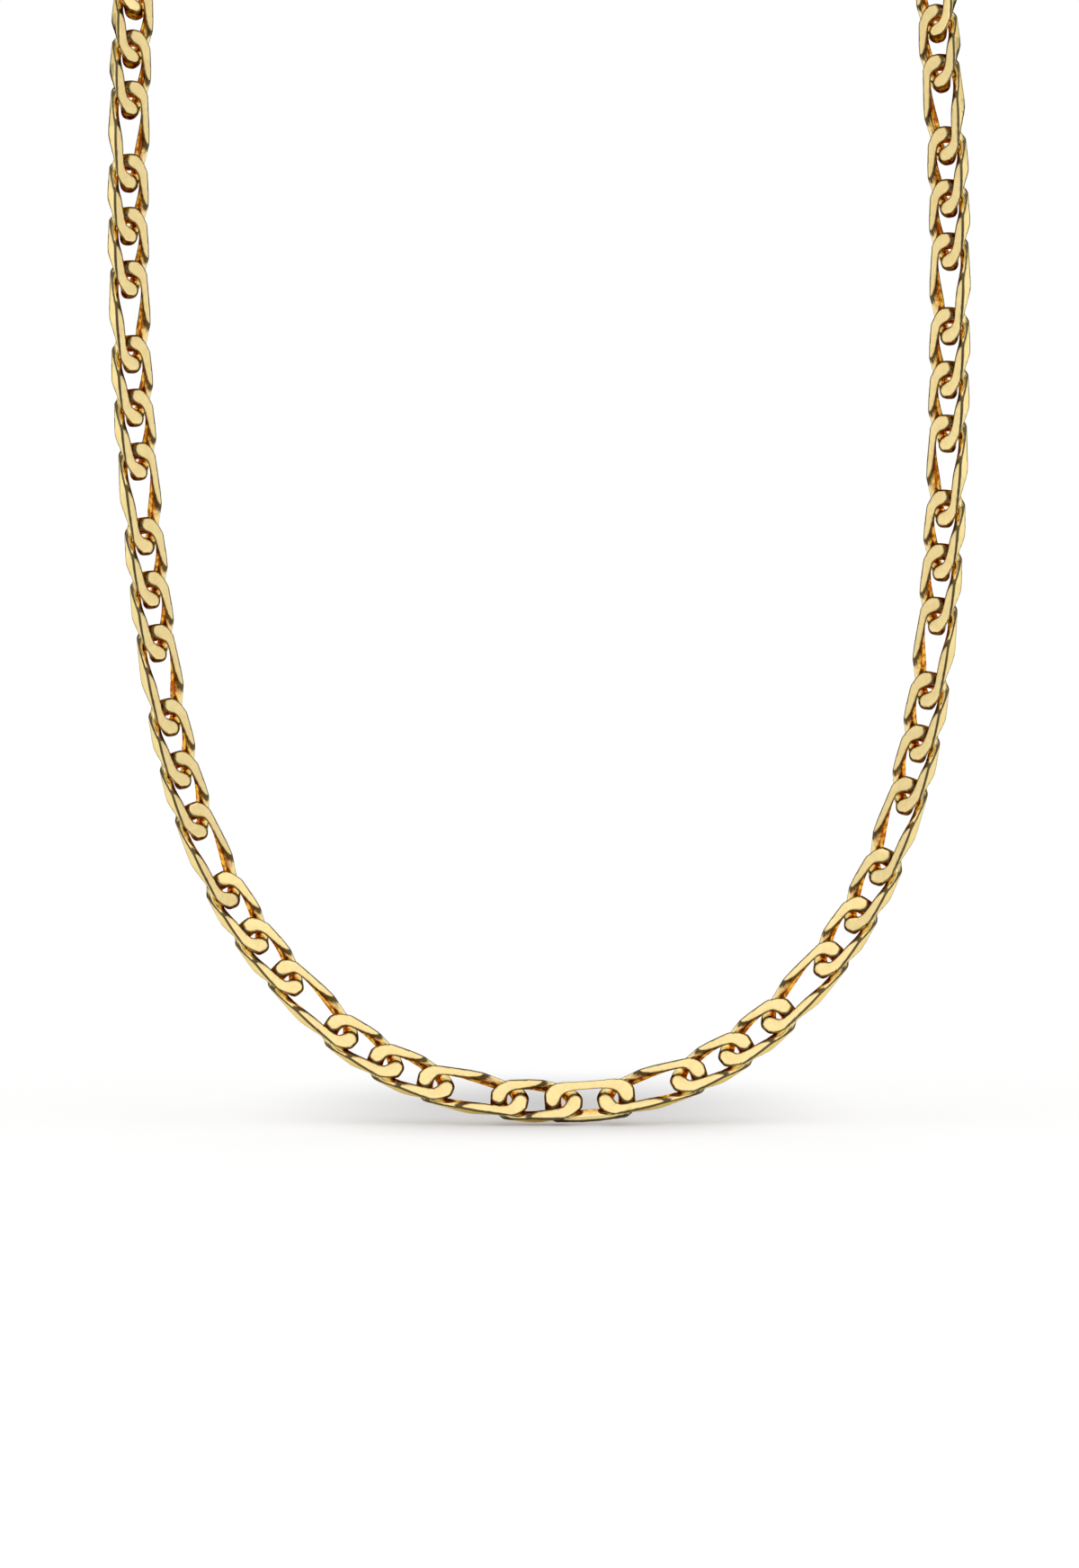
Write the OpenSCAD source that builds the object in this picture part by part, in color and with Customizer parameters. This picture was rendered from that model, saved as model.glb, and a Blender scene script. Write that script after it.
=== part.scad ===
// Figaro neck chain: two short links and one long link, over and over, of twisted wire
// that is cut flat on its face, its back and both sides. Millimetres, Z up. The chain
// hangs round an open neck space: the front of the loop faces -Y and the nape is at +Y.

/* [Link] */
// Diameter of the wire that every link is made of
wire_d = 2.05; // [1.95:0.05:2.05]
// Half width of a link, from its middle line to the middle of its wire
link_half_w = 2.6; // [2.6:0.05:2.7]
// How square the link's oval is, 2 is an ellipse
link_square = 2.7; // [2.7:0.1:2.9]
// Step along the chain that a short link takes up
short_pitch = 7.6; // [7.55:0.05:7.65]
// Step along the chain that a long link takes up
long_pitch = 10.6; // [10.55:0.05:10.65]
// Step along the chain that the centre link takes up
centre_pitch = 7.4; // [7.2:0.1:7.6]
// Outer length of a link beyond its step, shared by its two ends
link_lap = 5.7; // [5.6:0.05:5.8]
// Twist of each link's ends against its middle, in degrees
end_twist = 42; // [41:1:44]
// Turn of the untwisted centre link about its length, in degrees
centre_twist = 44; // [43:1:46]

/* [Flat cuts] */
// Height of the flat face above the middle of the chain
face_cut = 1.2; // [1.1:0.05:1.4]
// Depth of the flat back below the middle of the chain
back_cut = 1.25; // [1.15:0.05:1.5]
// Distance of the two flat sides from the middle of the chain
side_cut = 2.65; // [2.6:0.05:2.8]

/* [Chain] */
// Place of the centre link's left end, along the chain from the nape
centre_at = 283.5; // [282.5:0.25:284.5]

/* [Rings and clasp] */
// Wire of the two jump rings
ring_wire_d = 1.3; // [1.1:0.1:1.3]
// Diameter of a jump ring, measured at the middle of its wire
ring_d = 6; // [5.9:0.05:6.1]
// Loose play of a jump ring, shared by its two ends
ring_play = 0.5; // [0.4:0.05:0.6]
// Turn of a jump ring about the chain's length, from lying flat, in degrees
ring_turn = 75; // [72:1:78]
// Width of the clasp's loop, measured at the middle of its bar
clasp_w = 4.8; // [4.6:0.1:5]
// Thickness of the clasp's bar at the hook end
clasp_bar_d = 1.3; // [1.1:0.1:1.3]
// Thickness of the clasp's bar at the eye end
clasp_base_d = 2.4; // [2:0.1:2.6]
// How much thicker the clasp's bar is from face to back than from side to side
clasp_depth = 1.15; // [1:0.05:1.2]
// Diameter of the clasp's eye, measured at the middle of its wire
clasp_eye_d = 3.8; // [3.7:0.1:4]
// Wire of the clasp's eye
clasp_eye_wire_d = 1; // [0.9:0.1:1]

/* [Hidden] */
gold = [0.83, 0.68, 0.36];

// Links on each side of the centre link
left_links = 31;
right_links = 31;

// The axis of the chain, once round: from the nape over the left side, down to the
// lowest point and up the right side. facing is the way the flat face looks: 0 is
// forward and 90 is up. lean tips the face towards the inside of the loop.
// columns: x, y, z, facing, lean
route = [
    [  0.0,  22.6,   37.4,  72, 14],
    [-15.3,  21.2,   36.6,  72, 15],
    [-29.0,  17.2,   34.2,  71, 17],
    [-40.3,  10.8,   30.4,  68, 20],
    [-48.3,   3.0,   25.4,  64, 24],
    [-53.4,  -5.4,   19.2,  56, 27],
    [-56.0, -13.8,   12.0,  45, 29],
    [-57.2, -21.2,    3.3,  33, 31],
    [-57.7, -26.8,   -7.6,  21, 33],
    [-57.9, -30.8,  -20.0,  11, 35],
    [-57.9, -34.2,  -36.0,   5, 36],
    [-57.2, -37.3,  -56.0,   0, 36],
    [-55.6, -40.0,  -76.0,   0, 36],
    [-53.1, -43.0,  -96.0,   0, 35],
    [-49.3, -45.6, -113.0,   0, 34],
    [-43.2, -47.8, -127.0,   0, 32],
    [-35.0, -49.4, -138.2,   0, 29],
    [-24.4, -50.5, -147.8,   0, 26],
    [-12.0, -51.0, -153.3,   0, 23],
    [  2.0, -51.2, -155.0,   0, 22],
    [ 15.0, -51.0, -153.6,   0, 23],
    [ 27.0, -50.5, -148.2,   0, 26],
    [ 37.8, -49.4, -138.6,   0, 29],
    [ 45.8, -47.8, -127.0,   0, 32],
    [ 51.5, -45.6, -113.0,   0, 34],
    [ 55.0, -43.0,  -96.0,   0, 35],
    [ 56.9, -40.0,  -76.0,   0, 36],
    [ 57.6, -37.3,  -56.0,   0, 36],
    [ 57.8, -34.2,  -36.0,   5, 36],
    [ 57.4, -30.8,  -20.0,  11, 35],
    [ 56.5, -26.8,   -7.6,  21, 33],
    [ 56.1, -21.2,    3.3,  33, 31],
    [ 54.9, -13.8,   12.0,  45, 29],
    [ 52.3,  -5.4,   19.2,  56, 27],
    [ 47.3,   3.0,   25.4,  64, 24],
    [ 39.5,  10.8,   30.4,  68, 20],
    [ 28.4,  17.2,   34.2,  71, 17],
    [ 15.0,  21.2,   36.6,  72, 15],
];
route_n = len(route);
steps_per_leg = 16;

function row(i) = route[(i + route_n) % route_n];

// a smooth curve through the route's rows, leg i, at f from 0 to 1
function leg(i, f) =
    let (a = row(i - 1), b = row(i), c = row(i + 1), d = row(i + 2))
    0.5 * (2 * b + (c - a) * f + (2 * a - 5 * b + 4 * c - d) * f * f
        + (3 * b - a - 3 * c + d) * f * f * f);

function place(v) = [v[0], v[1], v[2]];
function unit(v) = v / norm(v);

curve = [for (i = [0 : route_n - 1]) for (k = [0 : steps_per_leg - 1]) leg(i, k / steps_per_leg),
         route[0]];
curve_n = len(curve);
along = [for (i = 0, s = 0; i < curve_n;
              s = s + (i + 1 < curve_n ? norm(place(curve[i + 1]) - place(curve[i])) : 0), i = i + 1) s];
loop_l = along[curve_n - 1];
tables = [for (c = [0 : 4]) [for (i = [0 : curve_n - 1]) [along[i], curve[i][c]]]];

function on_route(s) = [for (c = [0 : 4]) lookup(s > loop_l ? s - loop_l : s, tables[c])];

// The seat of a rigid piece between two places on the route: its middle, the way to the
// inside of the loop, the way its face looks, and the way along the chain
function seat(s0, s1) =
    let (p = on_route(s0), q = on_route(s1), mid = on_route((s0 + s1) / 2),
         t = unit(place(q) - place(p)),
         look = [0, -cos(mid[3]), sin(mid[3])],
         flat = unit(look - (look * t) * t),
         side = cross(flat, t),
         n = flat * cos(mid[4]) + side * sin(mid[4]))
    [(place(p) + place(q)) / 2, cross(n, t), n, t];

function set_in(seat, p) = seat[0] + p[0] * seat[1] + p[1] * seat[2] + p[2] * seat[3];

// A loop of wire: an oval of half width half_w and half length half_l in the plane of
// the piece, its wire drawn with six sides
loop_steps = 16;
wire_sides = 6;
function power(v, e) = sign(v) * pow(abs(v), e);
function oval(i, half_w, half_l, square) =
    let (a = 360 * i / loop_steps)
    [half_w * power(cos(a), 2 / square), half_l * power(sin(a), 2 / square)];

// middle line of a link: hand is 1 or -1 for the two ways of twisting, 0 for the centre
// link, whose whole length is turned one way
function link_line(i, half_l, hand) =
    let (p = oval(i, link_half_w, half_l, link_square),
         f = hand == 0 ? -centre_twist : hand * end_twist * p[1] / (half_l + wire_d / 2 - link_lap / 2))
    [p[0] * cos(f), -p[0] * sin(f), p[1]];

function clamp(v, low, high) = min(max(v, low), high);
wire_reach = wire_d / 2;
function link_ring(i, half_l, hand) =
    let (p = link_line(i, half_l, hand),
         t = unit(link_line(i + 0.5, half_l, hand) - link_line(i - 0.5, half_l, hand)),
         up = unit([0, 1, 0] - t[1] * t),
         out = cross(t, up))
    [for (k = [0 : wire_sides - 1])
        let (a = 360 * k / wire_sides,
             q = p + wire_reach * (cos(a) * out + sin(a) * up))
        [clamp(q[0], -side_cut, side_cut), clamp(q[1], -back_cut, face_cut), q[2]]];

function link_points(seat, pitch, hand) =
    let (half_l = (pitch + link_lap - wire_d) / 2)
    [for (i = [0 : loop_steps - 1]) for (q = link_ring(i, half_l, hand)) set_in(seat, q)];

// the faces between the rings; the two hands have their long edges the mirrored way
function loop_faces(first, sides, hand) =
    [for (i = [0 : loop_steps - 1]) for (k = [0 : sides - 1])
        let (a = first + i * sides + k,
             b = first + i * sides + (k + 1) % sides,
             c = first + ((i + 1) % loop_steps) * sides + (k + 1) % sides,
             d = first + ((i + 1) % loop_steps) * sides + k)
        each hand < 0 ? [[a, b, d], [b, c, d]] : [[a, b, c], [a, c, d]]];

// Links are counted outwards from the centre link. The pattern of two short and one long
// runs on through it.
function is_long(i, left) = i % 3 == (left ? 1 : 0);
function pitch_of(i, left) = is_long(i, left) ? long_pitch : short_pitch;
function reach(i, left) = i <= 0 ? 0 : reach(i - 1, left) + pitch_of(i - 1, left);
right_from = centre_at + centre_pitch;
left_end = centre_at - reach(left_links, true);
right_end = right_from + reach(right_links, false);

function link_at(i, left) =
    let (from = left ? centre_at - reach(i + 1, true) : right_from + reach(i, false))
    link_points(seat(from, from + pitch_of(i, left)), pitch_of(i, left), left ? 1 : -1);

module links(count, left) {
    shell = loop_steps * wire_sides;
    polyhedron(
        points = [for (i = [0 : count - 1]) each link_at(i, left)],
        faces = [for (i = [0 : count - 1]) each loop_faces(i * shell, wire_sides, left ? 1 : -1)],
        convexity = 10);
}

module left_chain() {
    color(gold) links(left_links, true);
}

module right_chain() {
    color(gold) links(right_links, false);
}

module centre_link() {
    color(gold) polyhedron(
        points = link_points(seat(centre_at, right_from), centre_pitch, 0),
        faces = loop_faces(0, wire_sides, 1), convexity = 4);
}

// The jump rings and the clasp fill the rest of the loop at the nape. A ring starts just
// inside the end of the last link.
ring_pitch = ring_d - ring_wire_d - ring_play;
ring_from = link_lap / 2 - wire_d - ring_play;
clasp_from = right_end + ring_from + ring_pitch;
clasp_to = loop_l + left_end - ring_from - ring_pitch;
clasp_pitch = clasp_to - clasp_from;

module seated(seat) {
    multmatrix([for (r = [0 : 2]) [seat[1][r], seat[2][r], seat[3][r], seat[0][r]]]) children();
}

// a ring whose axis is the local Y
module wire_ring(d, wire) {
    rotate([90, 0, 0]) rotate_extrude($fn = 48) translate([d / 2, 0]) circle(d = wire, $fn = 24);
}

module jump_ring(from) {
    color(gold) seated(seat(from, from + ring_pitch))
        rotate([0, 0, -ring_turn]) wire_ring(ring_d, ring_wire_d);
}

module left_jump_ring() {
    jump_ring(left_end - ring_from - ring_pitch);
}

module right_jump_ring() {
    jump_ring(right_end + ring_from);
}

// The clasp, closed: an oval loop whose bar swells towards the eye. Its hook end holds
// the right ring and its eye the left ring. It lies flat, like the links.
clasp_sides = 8;
hook_z = -clasp_pitch / 2 - clasp_bar_d / 2;
eye_z = clasp_pitch / 2 + clasp_eye_wire_d / 2 - clasp_eye_d / 2;
base_z = eye_z - clasp_eye_d / 2 - clasp_base_d * 0.28;
clasp_half_l = (base_z - hook_z) / 2;

function clasp_line(i) = let (p = oval(i, clasp_w / 2, clasp_half_l, 2.2))
    [p[0], 0, p[1] + (base_z + hook_z) / 2];

function clasp_ring(i) =
    let (p = clasp_line(i),
         t = unit(clasp_line(i + 0.5) - clasp_line(i - 0.5)),
         out = cross(t, [0, 1, 0]),
         r = (clasp_bar_d + (clasp_base_d - clasp_bar_d) * (p[2] - hook_z) / (base_z - hook_z)) / 2)
    [for (k = [0 : clasp_sides - 1])
        let (a = 360 * (k + 0.5) / clasp_sides)
        p + r * (cos(a) * out + clasp_depth * sin(a) * [0, 1, 0])];

module clasp() {
    color(gold) seated(seat(clasp_from, clasp_to)) {
        polyhedron(
            points = [for (i = [0 : loop_steps - 1]) each clasp_ring(i)],
            faces = loop_faces(0, clasp_sides, 1), convexity = 4);
        translate([0, 0, eye_z]) wire_ring(clasp_eye_d, clasp_eye_wire_d);
    }
}

left_chain();
centre_link();
right_chain();
left_jump_ring();
right_jump_ring();
clasp();
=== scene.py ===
# Figaro neck chain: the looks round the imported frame. Metres, Z up, the chain faces -Y.
import math

import bpy
import numpy as np
from mathutils import Matrix, Vector


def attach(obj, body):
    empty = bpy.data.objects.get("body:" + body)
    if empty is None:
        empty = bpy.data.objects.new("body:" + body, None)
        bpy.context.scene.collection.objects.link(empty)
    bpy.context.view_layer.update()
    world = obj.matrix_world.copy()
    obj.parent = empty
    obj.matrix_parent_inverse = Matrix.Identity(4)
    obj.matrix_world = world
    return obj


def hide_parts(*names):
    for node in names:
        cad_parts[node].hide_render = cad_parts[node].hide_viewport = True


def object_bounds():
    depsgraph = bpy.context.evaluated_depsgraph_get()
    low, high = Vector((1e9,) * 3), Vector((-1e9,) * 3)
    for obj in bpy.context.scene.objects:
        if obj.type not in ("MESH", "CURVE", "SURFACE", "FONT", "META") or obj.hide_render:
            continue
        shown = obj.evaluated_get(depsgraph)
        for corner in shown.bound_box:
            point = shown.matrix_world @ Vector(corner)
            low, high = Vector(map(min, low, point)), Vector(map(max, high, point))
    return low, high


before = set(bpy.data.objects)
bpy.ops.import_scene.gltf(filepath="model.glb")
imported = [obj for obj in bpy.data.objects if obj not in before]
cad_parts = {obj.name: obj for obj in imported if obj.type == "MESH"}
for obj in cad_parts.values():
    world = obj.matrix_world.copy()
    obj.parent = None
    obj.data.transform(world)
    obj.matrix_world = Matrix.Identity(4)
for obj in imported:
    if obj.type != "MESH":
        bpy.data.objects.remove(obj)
cadLow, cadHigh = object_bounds()
mm = 0.001


# small helpers

def deselectAll():
    if bpy.context.object and bpy.context.object.mode != "OBJECT":
        bpy.ops.object.mode_set(mode="OBJECT")
    bpy.ops.object.select_all(action="DESELECT")


def pick(*objects):
    deselectAll()
    for each in objects:
        each.select_set(True)
    bpy.context.view_layer.objects.active = objects[0]


def applyModifiers(piece):
    pick(piece)
    for each in list(piece.modifiers):
        bpy.ops.object.modifier_apply(modifier=each.name)


def linear(hexValue):
    # sRGB hex to the linear colour that the shader takes
    parts = [int(hexValue[i:i + 2], 16) / 255 for i in (1, 3, 5)]
    return [p / 12.92 if p <= 0.04045 else ((p + 0.055) / 1.055) ** 2.4 for p in parts] + [1]


def addNode(tree, kind, settings=None, values=None, links=None):
    # settings are the node's own options, values go on its sockets, links feed its sockets
    node = tree.nodes.new(kind)
    for name, value in (settings or {}).items():
        setattr(node, name, value)
    for name, value in (values or {}).items():
        node.inputs[name].default_value = value
    for name, source in (links or {}).items():
        tree.links.new(source, node.inputs[name])
    return node


# Yellow gold of 14 carat, one metal all over. The outsides are cut and polished to a pale
# mirror. The insides are painted a deeper, darker gold: painted shade, in the warm colour
# of light bounced between gold surfaces.

goldLook = {
    # inside and insideWarm are the colours of the painted shade on the insides
    "polished": "#FAE8AC", "polishedWarm": "#EBD190", "inside": "#F5C050", "insideWarm": "#B4621E",
    # edge is the colour of the painted dark reflections on the cut edges and the painted shade on
    # the link ends
    "edge": "#2C1806", "tumbleMm": 1.6, "patchMm": 0.7,
    "tumbleDetail": 3.0, "tumbleRough": 0.6, "patchDetail": 2.0, "patchRough": 0.5,
    "patchFrom": 0.42, "patchTo": 0.6,
    "rough": 0.11, "roughInside": 0.22,
}


def newMaterial(name):
    material = bpy.data.materials.new(name)
    material.use_nodes = True
    tree = material.node_tree
    tree.nodes.clear()
    return material, tree


def twoTones(tree, factor, first, second):
    tone = addNode(tree, "ShaderNodeMix", {"data_type": "RGBA"}, links={"Factor": factor})
    tone.inputs["A"].default_value = linear(first)
    tone.inputs["B"].default_value = linear(second)
    return tone.outputs["Result"]


def polishedGold():
    material, tree = newMaterial("polishedGold")
    place = addNode(tree, "ShaderNodeTexCoord")
    tumble = addNode(tree, "ShaderNodeTexNoise", values={
        "Scale": 1 / (goldLook["tumbleMm"] * mm), "Detail": goldLook["tumbleDetail"],
        "Roughness": goldLook["tumbleRough"]}, links={"Vector": place.outputs["Object"]})
    # how far a spot faces into its own link, painted on the pieces as painted shade
    inside = addNode(tree, "ShaderNodeVertexColor", {"layer_name": "inside"})
    outer = twoTones(tree, tumble.outputs["Fac"], goldLook["polishedWarm"], goldLook["polished"])
    patches = addNode(tree, "ShaderNodeTexNoise", values={
        "Scale": 1 / (goldLook["patchMm"] * mm), "Detail": goldLook["patchDetail"],
        "Roughness": goldLook["patchRough"]}, links={"Vector": place.outputs["Object"]})
    patchy = addNode(tree, "ShaderNodeMapRange", {"interpolation_type": "SMOOTHSTEP"}, values={
        "From Min": goldLook["patchFrom"], "From Max": goldLook["patchTo"]},
        links={"Value": patches.outputs["Fac"]})
    inner = twoTones(tree, patchy.outputs["Result"], goldLook["insideWarm"], goldLook["inside"])
    tone = addNode(tree, "ShaderNodeMix", {"data_type": "RGBA"}, links={
        "Factor": inside.outputs["Color"], "A": outer, "B": inner})
    # painted dark reflections on the soft edges of the cuts and painted shade on the link ends
    edge = addNode(tree, "ShaderNodeVertexColor", {"layer_name": "edge"})
    edged = addNode(tree, "ShaderNodeMix", {"data_type": "RGBA"}, links={
        "Factor": edge.outputs["Color"], "A": tone.outputs["Result"]})
    edged.inputs["B"].default_value = linear(goldLook["edge"])
    worn = addNode(tree, "ShaderNodeMath", {"operation": "MAXIMUM"}, links={
        0: inside.outputs["Color"], 1: edge.outputs["Color"]})
    dull = addNode(tree, "ShaderNodeMapRange", values={
        "To Min": goldLook["rough"], "To Max": goldLook["roughInside"]},
        links={"Value": worn.outputs["Value"]})
    shader = addNode(tree, "ShaderNodeBsdfPrincipled", values={"Metallic": 1.0}, links={
        "Base Color": edged.outputs["Result"], "Specular Tint": edged.outputs["Result"],
        "Roughness": dull.outputs["Result"]})
    addNode(tree, "ShaderNodeOutputMaterial", links={"Surface": shader.outputs["BSDF"]})
    return material


gold = polishedGold()
print("gold made")

# The line of the chain, the same points as in the part's source, in millimetres: x, y, z,
# the way the flat face looks (0 forward, 90 up), and how far it leans to the inside.

chain = {
    "route": [
        (0.0, 22.6, 37.4, 72, 14), (-15.3, 21.2, 36.6, 72, 15), (-29.0, 17.2, 34.2, 71, 17),
        (-40.3, 10.8, 30.4, 68, 20), (-48.3, 3.0, 25.4, 64, 24), (-53.4, -5.4, 19.2, 56, 27),
        (-56.0, -13.8, 12.0, 45, 29), (-57.2, -21.2, 3.3, 33, 31), (-57.7, -26.8, -7.6, 21, 33),
        (-57.9, -30.8, -20.0, 11, 35), (-57.9, -34.2, -36.0, 5, 36), (-57.2, -37.3, -56.0, 0, 36),
        (-55.6, -40.0, -76.0, 0, 36), (-53.1, -43.0, -96.0, 0, 35), (-49.3, -45.6, -113.0, 0, 34),
        (-43.2, -47.8, -127.0, 0, 32), (-35.0, -49.4, -138.2, 0, 29), (-24.4, -50.5, -147.8, 0, 26),
        (-12.0, -51.0, -153.3, 0, 23), (2.0, -51.2, -155.0, 0, 22), (15.0, -51.0, -153.6, 0, 23),
        (27.0, -50.5, -148.2, 0, 26), (37.8, -49.4, -138.6, 0, 29), (45.8, -47.8, -127.0, 0, 32),
        (51.5, -45.6, -113.0, 0, 34), (55.0, -43.0, -96.0, 0, 35), (56.9, -40.0, -76.0, 0, 36),
        (57.6, -37.3, -56.0, 0, 36), (57.8, -34.2, -36.0, 5, 36), (57.4, -30.8, -20.0, 11, 35),
        (56.5, -26.8, -7.6, 21, 33), (56.1, -21.2, 3.3, 33, 31), (54.9, -13.8, 12.0, 45, 29),
        (52.3, -5.4, 19.2, 56, 27), (47.3, 3.0, 25.4, 64, 24), (39.5, 10.8, 30.4, 68, 20),
        (28.4, 17.2, 34.2, 71, 17), (15.0, 21.2, 36.6, 72, 15),
    ],
    "stepsPerLeg": 16,
    "shortPitch": 7.6, "longPitch": 10.6, "centrePitch": 7.4,
    "leftLinks": 31, "rightLinks": 31, "centreAt": 283.5,
    "longEvery": 3, "leftFirstLong": 1, "rightFirstLong": 0,
}


def routeCurve():
    # a smooth curve through the rows, and the length along it at each of its points
    rows = np.array(chain["route"], float)
    points = []
    for i in range(len(rows)):
        a, b, c, d = (rows[(i + k) % len(rows)] for k in (-1, 0, 1, 2))
        for f in np.arange(chain["stepsPerLeg"]) / chain["stepsPerLeg"]:
            points.append(0.5 * (2 * b + (c - a) * f + (2 * a - 5 * b + 4 * c - d) * f ** 2
                                 + (3 * b - a - 3 * c + d) * f ** 3))
    points.append(rows[0])
    points = np.array(points)
    steps = np.linalg.norm(np.diff(points[:, :3], axis=0), axis=1)
    return points, np.concatenate([[0], np.cumsum(steps)])


routePoints, routeLength = routeCurve()
loopLength = routeLength[-1]


def onRoute(s):
    return np.array([np.interp(s % loopLength, routeLength, routePoints[:, c]) for c in range(5)])


def seat(start, end):
    # where a rigid piece sits between two places on the route: x to the inside of the
    # loop, y out of the flat face, z along the chain
    p, q, middle = onRoute(start), onRoute(end), onRoute((start + end) / 2)
    along = Vector(q[:3] - p[:3]).normalized()
    facing, lean = math.radians(middle[3]), math.radians(middle[4])
    look = Vector((0, -math.cos(facing), math.sin(facing)))
    flat = (look - look.dot(along) * along).normalized()
    face = flat * math.cos(lean) + flat.cross(along) * math.sin(lean)
    turned = Matrix((face.cross(along), face, along)).transposed().to_4x4()
    return Matrix.Scale(mm, 4) @ Matrix.Translation(Vector((p[:3] + q[:3]) / 2)) @ turned


# One link, modelled in millimetres: an oval of round wire, twisted about its length and
# then cut flat on its face, its back and both sides, and dressed at its ends. Tumbling
# softens the cut edges. The wire is thicker than in the part's solids, which keep a gap
# between the links, so here neighbours meet or nearly meet.

link = {
    "wire": 2.55, "halfWidth": 2.75, "lap": 5.7, "squareness": 1.25,
    "endTwist": 40, "centreTurn": 44,
    "faceCut": 0.9, "backCut": 1.2, "sideCut": 2.92, "sideLean": 4, "sideBend": 1.0, "endCut": 0.18,
    "ringsPerQuarter": 26, "roundSteps": 9,
    "grain": 0.08, "tumbling": 60, "faces": 6000,
}

# how the pieces are painted: reaches in millimetres, tilts in degrees off a flat cut
paint = {
    "insideStart": 0.1, "insideGain": 1.3,
    "flatTilt": 6, "flatBlend": 5,
    # edge and end: the painted dark reflections on the cut edges and the painted shade on the link
    # ends
    "edgeTilt": 66, "edgeBlend": 8, "edgeReach": 0.4, "edgeDark": 0.9,
    "endReach": 1.3, "endBlend": 0.4, "endDark": 0.7,
}

# points nearer than this are one point
weldReach = 1e-4


def wireOval(halfWidth, halfLength, wire, squareness, radii=(1, 1, 1, 1)):
    bpy.ops.curve.primitive_bezier_circle_add(radius=1, rotation=(math.pi / 2, 0, 0))
    oval = bpy.context.object
    bpy.ops.object.transform_apply(location=False, rotation=True, scale=False)
    bpy.ops.object.mode_set(mode="EDIT")
    bpy.ops.curve.select_all(action="SELECT")
    bpy.ops.transform.resize(value=(halfWidth, 1, halfLength))
    bpy.ops.object.mode_set(mode="OBJECT")
    for point, radius in zip(oval.data.splines[0].bezier_points, radii):
        # longer handles make the oval squarer than an ellipse
        point.handle_left_type = point.handle_right_type = "FREE"
        point.handle_left = point.co + (point.handle_left - point.co) * squareness
        point.handle_right = point.co + (point.handle_right - point.co) * squareness
        point.radius = radius
    oval.data.resolution_u = link["ringsPerQuarter"]
    oval.data.bevel_depth = wire / 2
    oval.data.bevel_resolution = link["roundSteps"]
    bpy.ops.object.convert(target="MESH")
    return bpy.context.object


softenStep = 0.5


def tumble(piece, grain, passes, faces):
    # one closed skin with soft edges, then only as many faces as its form needs
    skin = piece.modifiers.new("skin", "REMESH")
    skin.mode = "VOXEL"
    skin.voxel_size = grain
    soften = piece.modifiers.new("soften", "SMOOTH")
    soften.factor = softenStep
    soften.iterations = passes
    applyModifiers(piece)
    thin = piece.modifiers.new("thin", "DECIMATE")
    thin.ratio = faces / (2 * len(piece.data.polygons))
    applyModifiers(piece)
    for polygon in piece.data.polygons:
        polygon.use_smooth = True


def clamp(value):
    return min(max(value, 0), 1)


def paintInside(piece, halfWidth, halfLength, middle=0):
    # painted shade of the insides: 1 where a spot faces the middle of its own loop, 0 where it
    # faces outwards
    layer = piece.data.color_attributes.new("inside", "FLOAT_COLOR", "POINT")
    for point, mark in zip(piece.data.vertices, layer.data):
        across, along = point.co.x / halfWidth, (point.co.z - middle) / halfLength
        outwards = Vector((across, 0, along)).normalized()
        depth = clamp(paint["insideStart"] - paint["insideGain"] * outwards.dot(point.normal))
        mark.color = (depth, depth, depth, 1)


def paintEdges(piece, cuts, halfLength):
    # painted dark reflection, high on the soft edge round each flat cut, and painted shade on the
    # two ends, where the next link meets it; 0 on the flats. The shaded ends take the painted shade
    # of the insides too.
    layer = piece.data.color_attributes.new("edge", "FLOAT_COLOR", "POINT")
    inside = piece.data.color_attributes["inside"]
    for point, mark, inner in zip(piece.data.vertices, layer.data, inside.data):
        tilt = 90
        for place, normal in cuts:
            if (Vector(place) - point.co).dot(Vector(normal)) < paint["edgeReach"]:
                tilt = min(tilt, math.degrees(point.normal.angle(Vector(normal))))
        offFlat = clamp((tilt - paint["flatTilt"]) / paint["flatBlend"])
        nearFlat = clamp((paint["edgeTilt"] - tilt) / paint["edgeBlend"])
        nearEnd = clamp((abs(point.co.z) - halfLength + paint["endReach"]) / paint["endBlend"])
        rubbed = min(nearEnd, offFlat)
        dark = max(min(offFlat, nearFlat) * paint["edgeDark"], rubbed * paint["endDark"])
        deep = max(inner.color[0], rubbed)
        inner.color = (deep, deep, deep, 1)
        mark.color = (dark, dark, dark, 1)


def weld(piece):
    # close the seam that the curve leaves in the skin
    pick(piece)
    bpy.ops.object.mode_set(mode="EDIT")
    bpy.ops.mesh.select_all(action="SELECT")
    bpy.ops.mesh.remove_doubles(threshold=weldReach)
    bpy.ops.mesh.normals_make_consistent(inside=False)
    bpy.ops.object.mode_set(mode="OBJECT")


def makeGold(piece):
    piece.data.materials.clear()
    piece.data.materials.append(gold)


def flatCut(place, normal):
    bpy.ops.mesh.select_all(action="SELECT")
    bpy.ops.mesh.bisect(plane_co=place, plane_no=normal, use_fill=True, clear_outer=True,
                        threshold=weldReach)


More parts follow.
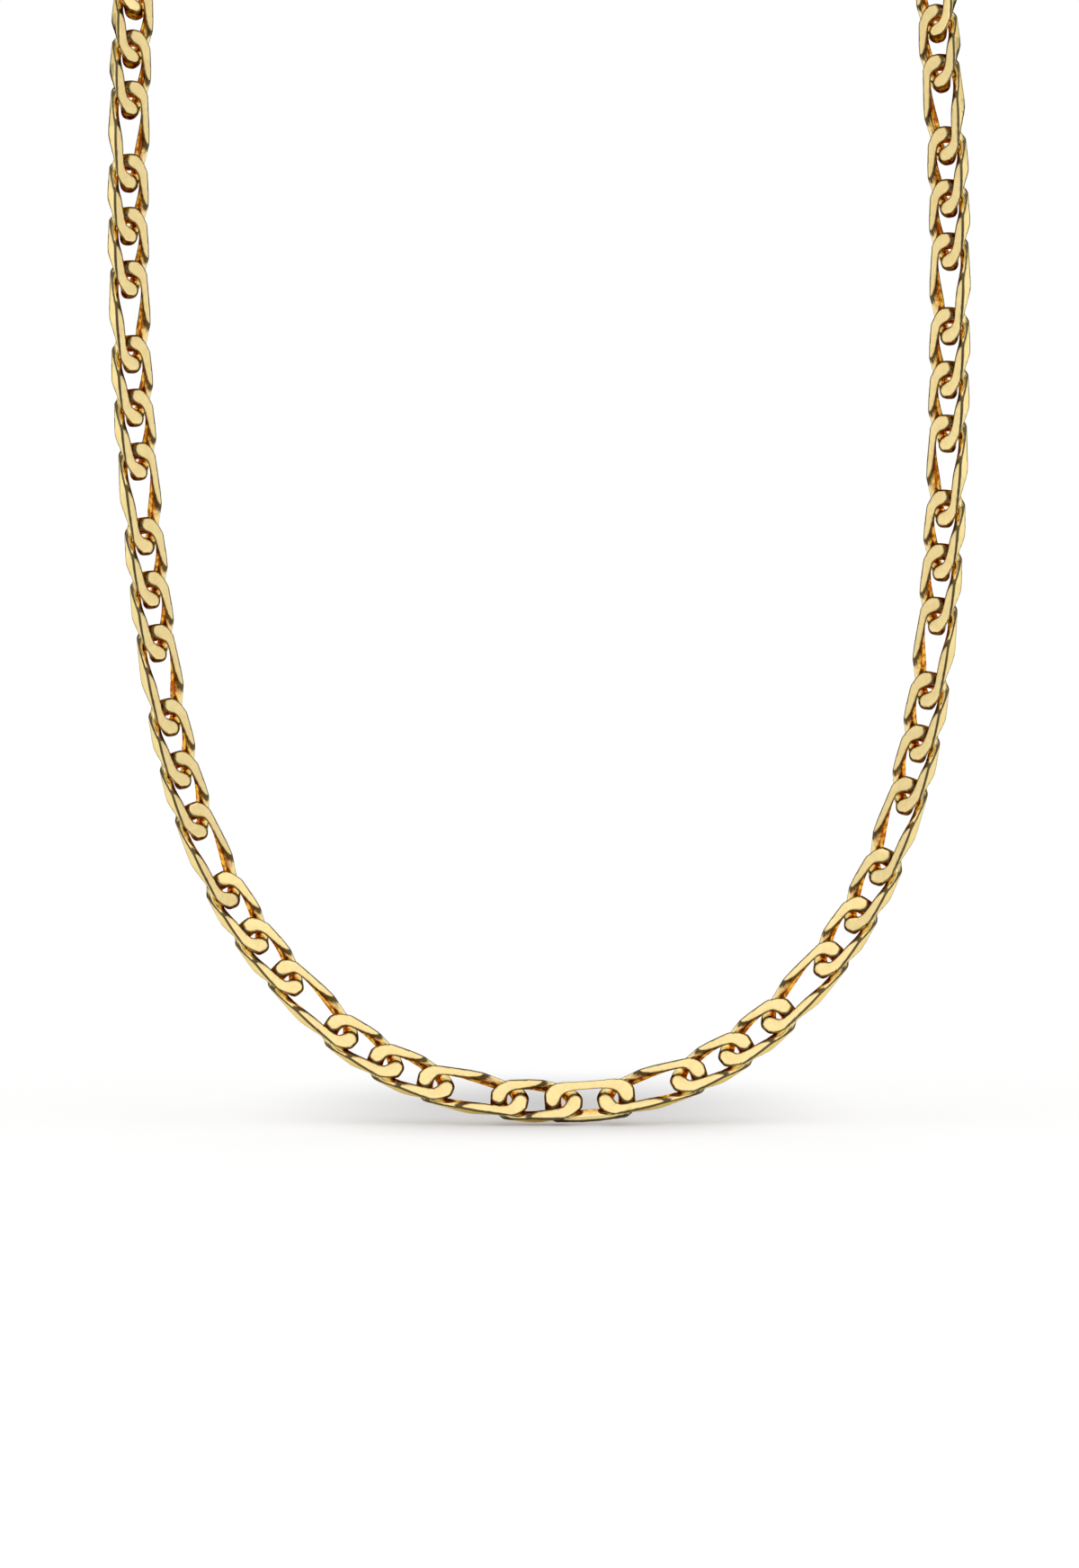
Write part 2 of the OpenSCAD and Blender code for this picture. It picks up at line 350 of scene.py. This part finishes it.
def makeLink(name, pitch, hand):
    # hand is 1 or -1 for the two ways of twisting, 0 for the untwisted centre link
    deselectAll()
    length = pitch + link["lap"]
    halfLoop = (length - link["wire"]) / 2
    piece = wireOval(link["halfWidth"], halfLoop, link["wire"], link["squareness"])
    piece.name = name
    if hand:
        twist = piece.modifiers.new("twist", "SIMPLE_DEFORM")
        twist.deform_method = "TWIST"
        twist.deform_axis = "Z"
        twist.angle = -hand * math.radians(2 * link["endTwist"]) * length / pitch
        applyModifiers(piece)
    weld(piece)
    bpy.ops.object.mode_set(mode="EDIT")
    bpy.ops.mesh.select_all(action="SELECT")
    if not hand:
        bpy.ops.transform.rotate(value=-math.radians(link["centreTurn"]), orient_axis="Z",
                                 center_override=(0, 0, 0))
    cuts = [((0, link["faceCut"], 0), (0, 1, 0)), ((0, -link["backCut"], 0), (0, -1, 0))]
    # each side is three cuts at a slight angle, which the tumbling blends into one long leaf
    lean = math.radians(link["sideLean"])
    for side in (1, -1):
        for end in (-1, 0, 1):
            cuts.append(((side * link["sideCut"], 0, end * link["sideBend"]),
                         (side * math.cos(lean * end), 0, math.sin(lean * end))))
    for place, normal in cuts:
        flatCut(place, normal)
    for end in (1, -1):
        flatCut((0, 0, end * (length / 2 - link["endCut"])), (0, 0, end))
    bpy.ops.object.mode_set(mode="OBJECT")
    tumble(piece, link["grain"], link["tumbling"], link["faces"])
    paintInside(piece, link["halfWidth"], halfLoop)
    paintEdges(piece, cuts, length / 2)
    makeGold(piece)
    return piece


def placeLink(model, name, start, pitch):
    piece = model.copy()
    piece.data = model.data.copy()
    piece.name = name
    bpy.context.scene.collection.objects.link(piece)
    piece.data.transform(seat(start, start + pitch))
    return piece


def finishPiece(piece, node):
    normals = piece.modifiers.new("normals", "WEIGHTED_NORMAL")
    normals.mode = "FACE_AREA"
    normals.weight = 100
    normals.keep_sharp = True
    applyModifiers(piece)
    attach(piece, "root")
    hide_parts(node)
    print(piece.name, len(piece.data.vertices), "points")


def isLong(i, side):
    return i % chain["longEvery"] == chain[side + "FirstLong"]


def makeStrand(side):
    # links are counted outwards from the centre link
    hand = 1 if side == "left" else -1
    models = {
        "short": makeLink(side + "ShortModel", chain["shortPitch"], hand),
        "long": makeLink(side + "LongModel", chain["longPitch"], hand),
    }
    placed = []
    at = chain["centreAt"] + (0 if side == "left" else chain["centrePitch"])
    for i in range(chain[side + "Links"]):
        kind = "long" if isLong(i, side) else "short"
        pitch = chain[kind + "Pitch"]
        start = at - pitch if side == "left" else at
        placed.append(placeLink(models[kind], side + "Link" + str(i), start, pitch))
        at = start if side == "left" else at + pitch
    pick(*placed)
    bpy.ops.object.join()
    strand = bpy.context.object
    strand.name = side + "ChainLinks"
    for model in models.values():
        bpy.data.objects.remove(model)
    finishPiece(strand, side + "_chain")


makeStrand("left")
makeStrand("right")
centreModel = makeLink("centreModel", chain["centrePitch"], 0)
centreLink = placeLink(centreModel, "centreLink", chain["centreAt"], chain["centrePitch"])
bpy.data.objects.remove(centreModel)
finishPiece(centreLink, "centre_link")
print("links made")

# The two jump rings: round wire, soldered shut. Each is seated a little past the last
# link's own stretch of the route, and hangs in that link's end.

ring = {"wire": 1.3, "across": 6.0, "play": 0.5, "turn": 75, "start": 0.3}
ringPitch = ring["across"] - ring["wire"] - ring["play"]


def makeJumpRing(side, start):
    deselectAll()
    piece = wireOval(ring["across"] / 2, ring["across"] / 2, ring["wire"], 1)
    piece.name = side + "JumpRingWire"
    weld(piece)
    makeGold(piece)
    for polygon in piece.data.polygons:
        polygon.use_smooth = True
    paintInside(piece, ring["across"] / 2, ring["across"] / 2)
    turned = Matrix.Rotation(-math.radians(ring["turn"]), 4, "Z")
    piece.data.transform(seat(start, start + ringPitch) @ turned)
    finishPiece(piece, side + "_jump_ring")


# The clasp at the nape, closed: a cast loop that swells towards its eye

clasp = {
    "width": 4.8, "bar": 1.3, "base": 2.4, "depth": 1.15, "squareness": 1.06, "baseSink": 0.28,
    "eyeAcross": 3.8, "eyeWire": 1.0, "grain": 0.08, "polish": 6, "faces": 9000,
}


def makeClasp(start, end):
    deselectAll()
    pitch = end - start
    hookZ = -pitch / 2 - clasp["bar"] / 2
    eyeZ = pitch / 2 + clasp["eyeWire"] / 2 - clasp["eyeAcross"] / 2
    baseZ = eyeZ - clasp["eyeAcross"] / 2 - clasp["base"] * clasp["baseSink"]
    slim = clasp["bar"] / clasp["base"]
    body = wireOval(clasp["width"] / 2, (baseZ - hookZ) / 2, clasp["base"], clasp["squareness"],
                    radii=((1 + slim) / 2, 1, (1 + slim) / 2, slim))
    body.data.transform(Matrix.Translation((0, 0, (baseZ + hookZ) / 2))
                        @ Matrix.Diagonal((1, clasp["depth"], 1, 1)))
    deselectAll()
    eye = wireOval(clasp["eyeAcross"] / 2, clasp["eyeAcross"] / 2, clasp["eyeWire"], 1)
    eye.data.transform(Matrix.Translation((0, 0, eyeZ)))
    pick(body, eye)
    bpy.ops.object.join()
    piece = bpy.context.object
    piece.name = "claspBody"
    weld(piece)
    tumble(piece, clasp["grain"], clasp["polish"], clasp["faces"])
    paintInside(piece, clasp["width"] / 2, (baseZ - hookZ) / 2, (baseZ + hookZ) / 2)
    makeGold(piece)
    piece.data.transform(seat(start, end))
    finishPiece(piece, "clasp")


def chainReach(side):
    return sum(chain["longPitch"] if isLong(i, side) else chain["shortPitch"]
               for i in range(chain[side + "Links"]))


leftEnd = chain["centreAt"] - chainReach("left")
rightEnd = chain["centreAt"] + chain["centrePitch"] + chainReach("right")
makeJumpRing("left", leftEnd - ring["start"] - ringPitch)
makeJumpRing("right", rightEnd + ring["start"])
makeClasp(rightEnd + ring["start"] + ringPitch, loopLength + leftEnd - ring["start"] - ringPitch)
print("rings and clasp made")

# The studio: a wide pale floor just under the chain with a soft round shadow painted into it,
# a soft light overhead, and a bright tent of light with a darker gap round the camera, which the
# metal mirrors.

studio = {
    "floorDrop": 0.3, "floorSize": 6.0, "floorColour": "#FDFDFD", "floorRough": 0.9,
    # the painted shadow on the floor: its reach, its centre in millimetres and its colour
    "shadeReach": 48.0, "shadeX": 1.3, "shadeY": -29.0, "paintedShadowColour": "#C8C7C7",
    "sunPower": 0.45, "sunWidth": 100, "sunBack": -18,
    "roofHeight": 0.15, "roofBlend": 0.1, "roofLevel": 0.93,
}

floorZ = cadLow.z - studio["floorDrop"] * mm

# the light tent, how bright it is by degrees from the photographer: a white disc at the
# lens, a dark gap round it, the front cloth, a dark join, the back cloth, and the dim room
tent = [(0, 1.0), (7, 1.0), (11, 0.03), (29, 0.03), (34, 1.02), (60, 1.02), (85, 1.02),
        (88, 0.02), (99, 0.02), (101, 1.12), (118, 1.12), (121, 0.03), (155, 0.05), (180, 0.3)]


def makeFloor():
    deselectAll()
    bpy.ops.mesh.primitive_grid_add(x_subdivisions=2, y_subdivisions=2, size=studio["floorSize"],
                                    location=(0, 0, floorZ))
    floor = bpy.context.object
    floor.name = "floor"
    bpy.ops.object.transform_apply(location=True, rotation=False, scale=False)
    material, tree = newMaterial("paleFloor")
    # a soft round shadow is painted into the floor's colour where the chain comes down to it
    place = addNode(tree, "ShaderNodeTexCoord")
    toFoot = addNode(tree, "ShaderNodeVectorMath", {"operation": "DISTANCE"}, links={
        0: place.outputs["Object"]})
    toFoot.inputs[1].default_value = (studio["shadeX"] * mm, studio["shadeY"] * mm, floorZ)
    shade = addNode(tree, "ShaderNodeMapRange", {"interpolation_type": "SMOOTHSTEP"}, values={
        "From Max": studio["shadeReach"] * mm, "To Min": 1.0, "To Max": 0.0},
        links={"Value": toFoot.outputs["Value"]})
    tone = twoTones(tree, shade.outputs["Result"], studio["floorColour"], studio["paintedShadowColour"])
    shader = addNode(tree, "ShaderNodeBsdfPrincipled", values={"Roughness": studio["floorRough"]},
                     links={"Base Color": tone})
    addNode(tree, "ShaderNodeOutputMaterial", links={"Surface": shader.outputs["BSDF"]})
    floor.data.materials.append(material)


def makeWorld():
    world = bpy.data.worlds.new("studio")
    bpy.context.scene.world = world
    world.use_nodes = True
    tree = world.node_tree
    tree.nodes.clear()
    place = addNode(tree, "ShaderNodeTexCoord")
    # how far a direction is from the one that points at the photographer, 0 to 1
    toFront = addNode(tree, "ShaderNodeVectorMath", {"operation": "DOT_PRODUCT"}, links={
        0: place.outputs["Generated"]})
    toFront.inputs[1].default_value = (0, -1, 0)
    angle = addNode(tree, "ShaderNodeMath", {"operation": "ARCCOSINE"}, links={
        0: toFront.outputs["Value"]})
    share = addNode(tree, "ShaderNodeMath", {"operation": "DIVIDE"}, links={
        0: angle.outputs["Value"]})
    share.inputs[1].default_value = math.pi
    ramp = addNode(tree, "ShaderNodeValToRGB", links={"Fac": share.outputs["Value"]})
    elements = ramp.color_ramp.elements
    while len(elements) < len(tent):
        elements.new(0.5)
    for element, (degrees, level) in zip(elements, tent):
        element.position = degrees / 180
        element.color = (level, level, level, 1)
    # above the tent the white ceiling takes over, so faces that look up stay bright
    height = addNode(tree, "ShaderNodeSeparateXYZ", links={"Vector": place.outputs["Generated"]})
    roof = addNode(tree, "ShaderNodeMapRange", {"interpolation_type": "SMOOTHSTEP"}, values={
        "From Min": studio["roofHeight"],
        "From Max": studio["roofHeight"] + studio["roofBlend"]},
        links={"Value": height.outputs["Z"]})
    tentLight = addNode(tree, "ShaderNodeMix", {"data_type": "RGBA"}, links={
        "Factor": roof.outputs["Result"], "A": ramp.outputs["Color"]})
    tentLight.inputs["B"].default_value = (studio["roofLevel"],) * 3 + (1,)
    seen = addNode(tree, "ShaderNodeLightPath")
    glow = addNode(tree, "ShaderNodeBackground", links={"Color": tentLight.outputs["Result"]})
    plain = addNode(tree, "ShaderNodeBackground", values={"Color": (1, 1, 1, 1)})
    mixed = addNode(tree, "ShaderNodeMixShader", links={
        0: seen.outputs["Is Camera Ray"], 1: glow.outputs["Background"],
        2: plain.outputs["Background"]})
    addNode(tree, "ShaderNodeOutputWorld", links={"Surface": mixed.outputs["Shader"]})


def makeLights():
    bpy.ops.object.light_add(type="SUN", location=(0, 0, 1))
    overhead = bpy.context.object
    overhead.name = "overheadSoftbox"
    overhead.rotation_euler = (math.radians(-studio["sunBack"]), 0, 0)
    overhead.data.angle = math.radians(studio["sunWidth"])
    overhead.data.energy = studio["sunPower"]


# the eye's distance and height in metres, the frame in millimetres where the chain hangs
view = {
    "distance": 1.35, "eyeLift": 0.118,
    "frameHeight": 221.2, "middleZ": -111.2, "planeY": -40.0, "sensor": 24,
}


def makeCamera():
    # the photo's frame is 1200 x 1744 pixels, so 152.2 mm wide where the chain hangs
    bpy.ops.object.camera_add()
    camera = bpy.context.object
    target = Vector((0, view["planeY"] * mm, view["middleZ"] * mm))
    eye = target + Vector((0, -view["distance"], view["eyeLift"]))
    camera.location = eye
    camera.rotation_mode = "QUATERNION"
    camera.rotation_quaternion = (target - eye).to_track_quat("-Z", "Y")
    camera.data.sensor_fit = "VERTICAL"
    camera.data.sensor_height = view["sensor"]
    reach = (target - eye).length
    camera.data.lens = view["sensor"] * reach / (view["frameHeight"] * mm)
    camera.data.sensor_width = view["sensor"]
    bpy.context.scene.camera = camera


makeFloor()
makeWorld()
makeLights()
makeCamera()
bpy.context.scene.view_settings.view_transform = "Standard"
print("studio made")
